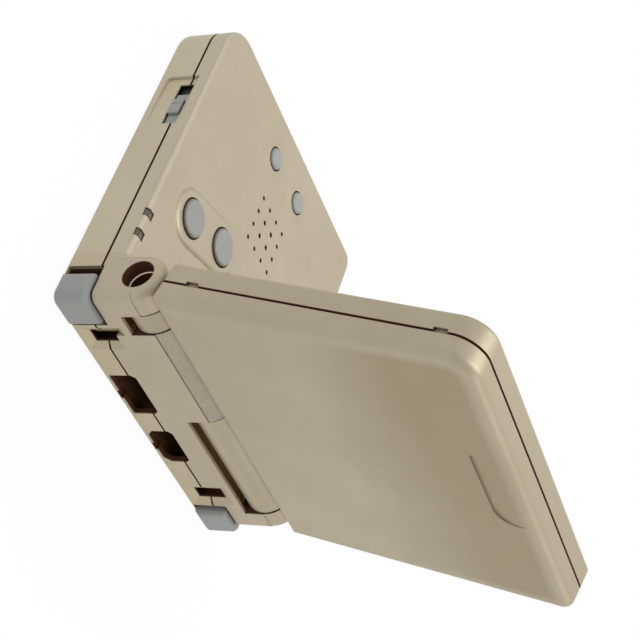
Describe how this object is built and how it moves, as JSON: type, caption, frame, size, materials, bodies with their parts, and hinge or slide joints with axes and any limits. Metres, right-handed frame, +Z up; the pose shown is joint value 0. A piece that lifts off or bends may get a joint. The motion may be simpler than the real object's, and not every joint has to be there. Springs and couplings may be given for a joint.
{
  "type": "clamshell handheld game console",
  "caption": "Folding handheld game console with hinged screen lid, push buttons, shoulder buttons and side switches.",
  "frame": {"origin": "centre of the underside of the base", "axes": "+X to the player's right along the hinge, +Y from the front edge to the hinge, +Z up"},
  "size_m": [0.0848, 0.0996, 0.0949],
  "materials": {
    "shell_paint": "satin metallic paint",
    "hinge_cover": "fine textured paint",
    "button_grey": "satin",
    "rubber_grey": "matt",
    "screw_steel": "satin",
    "hinge_metal": "satin",
    "board_green": "solder mask",
    "battery_case": "matt",
    "lens_clear": "clear",
    "display_grey": "smooth",
    "foam_dark": "matt",
    "light_window": "smooth",
    "dark_plastic": "matt"
  },
  "bodies": {
    "base": {"base_top_housing": "shell_paint", "base_bottom_housing": "shell_paint", "hinge_centre_cover": "hinge_cover", "battery_cover": "shell_paint", "battery_cover_screw": "screw_steel", "battery_pack": "battery_case", "main_board": "board_green", "cartridge_connector": "dark_plastic", "link_connector": "dark_plastic", "power_connector": "dark_plastic", "speaker": "dark_plastic", "action_membrane": "rubber_grey", "cross_membrane": "rubber_grey", "small_membrane": "rubber_grey", "light_membrane": "rubber_grey", "housing_screws": "screw_steel", "power_switch_body": "dark_plastic", "volume_switch_body": "dark_plastic", "power_light_pipe": "light_window", "charge_light_pipe": "light_window", "shoulder_pins": "screw_steel", "shoulder_contacts": "dark_plastic", "hinge_cylinder": "hinge_metal", "hinge_bush": "screw_steel"},
    "lid": {"lid_cover": "shell_paint", "lid_frame": "shell_paint", "screen_lens": "lens_clear", "display_panel": "display_grey", "display_spacer": "foam_dark", "lid_screws": "screw_steel", "lid_screw_caps": "shell_paint", "lid_bumpers": "rubber_grey"},
    "cross": {"control_cross": "button_grey"},
    "a": {"a_button": "button_grey"},
    "b": {"b_button": "button_grey"},
    "start": {"start_button": "button_grey"},
    "select": {"select_button": "button_grey"},
    "screen_light": {"screen_light_button": "button_grey"},
    "right_shoulder": {"right_shoulder_button": "button_grey"},
    "left_shoulder": {"left_shoulder_button": "button_grey"},
    "power_knob": {"power_switch_knob": "button_grey"},
    "volume_knob": {"volume_slider_knob": "button_grey"}
  },
  "joints": [
    {"name": "lid_hinge", "type": "hinge", "parent": "base", "child": "lid", "pos_m": [0, 0.0364, 0.0187], "axis": [-1, 0, 0], "range_deg": [-101.8, 53.2]},
    {"name": "a_press", "type": "slide", "parent": "base", "child": "a", "axis": [0, 0, -1], "range_m": [0, 0.0008], "stiffness_N_per_m": 400, "springref_m": -0.0005},
    {"name": "b_press", "type": "slide", "parent": "base", "child": "b", "axis": [0, 0, -1], "range_m": [0, 0.0008], "stiffness_N_per_m": 400, "springref_m": -0.0005},
    {"name": "start_press", "type": "slide", "parent": "base", "child": "start", "axis": [0, 0, -1], "range_m": [0, 0.0008], "stiffness_N_per_m": 400, "springref_m": -0.0005},
    {"name": "select_press", "type": "slide", "parent": "base", "child": "select", "axis": [0, 0, -1], "range_m": [0, 0.0008], "stiffness_N_per_m": 400, "springref_m": -0.0005},
    {"name": "screen_light_press", "type": "slide", "parent": "base", "child": "screen_light", "axis": [0, 0, -1], "range_m": [0, 0.0008], "stiffness_N_per_m": 400, "springref_m": -0.0005},
    {"name": "cross_press", "type": "slide", "parent": "base", "child": "cross", "axis": [0, 0, -1], "range_m": [0, 0.0008], "stiffness_N_per_m": 700, "springref_m": -0.0005},
    {"name": "right_shoulder_press", "type": "hinge", "parent": "base", "child": "right_shoulder", "pos_m": [0.0355, 0.03985, 0.005], "axis": [0, 0, -1], "range_deg": [0, 5], "stiffness_Nm_per_rad": 0.03, "springref_deg": -4.58},
    {"name": "left_shoulder_press", "type": "hinge", "parent": "base", "child": "left_shoulder", "pos_m": [-0.0355, 0.03985, 0.005], "axis": [0, 0, 1], "range_deg": [0, 5], "stiffness_Nm_per_rad": 0.03, "springref_deg": -4.58},
    {"name": "power_slide", "type": "slide", "parent": "base", "child": "power_knob", "axis": [0, -1, 0], "range_m": [0, 0.0028]},
    {"name": "volume_slide", "type": "slide", "parent": "base", "child": "volume_knob", "axis": [0, 1, 0], "range_m": [-0.0039, 0.0039]}
  ]
}
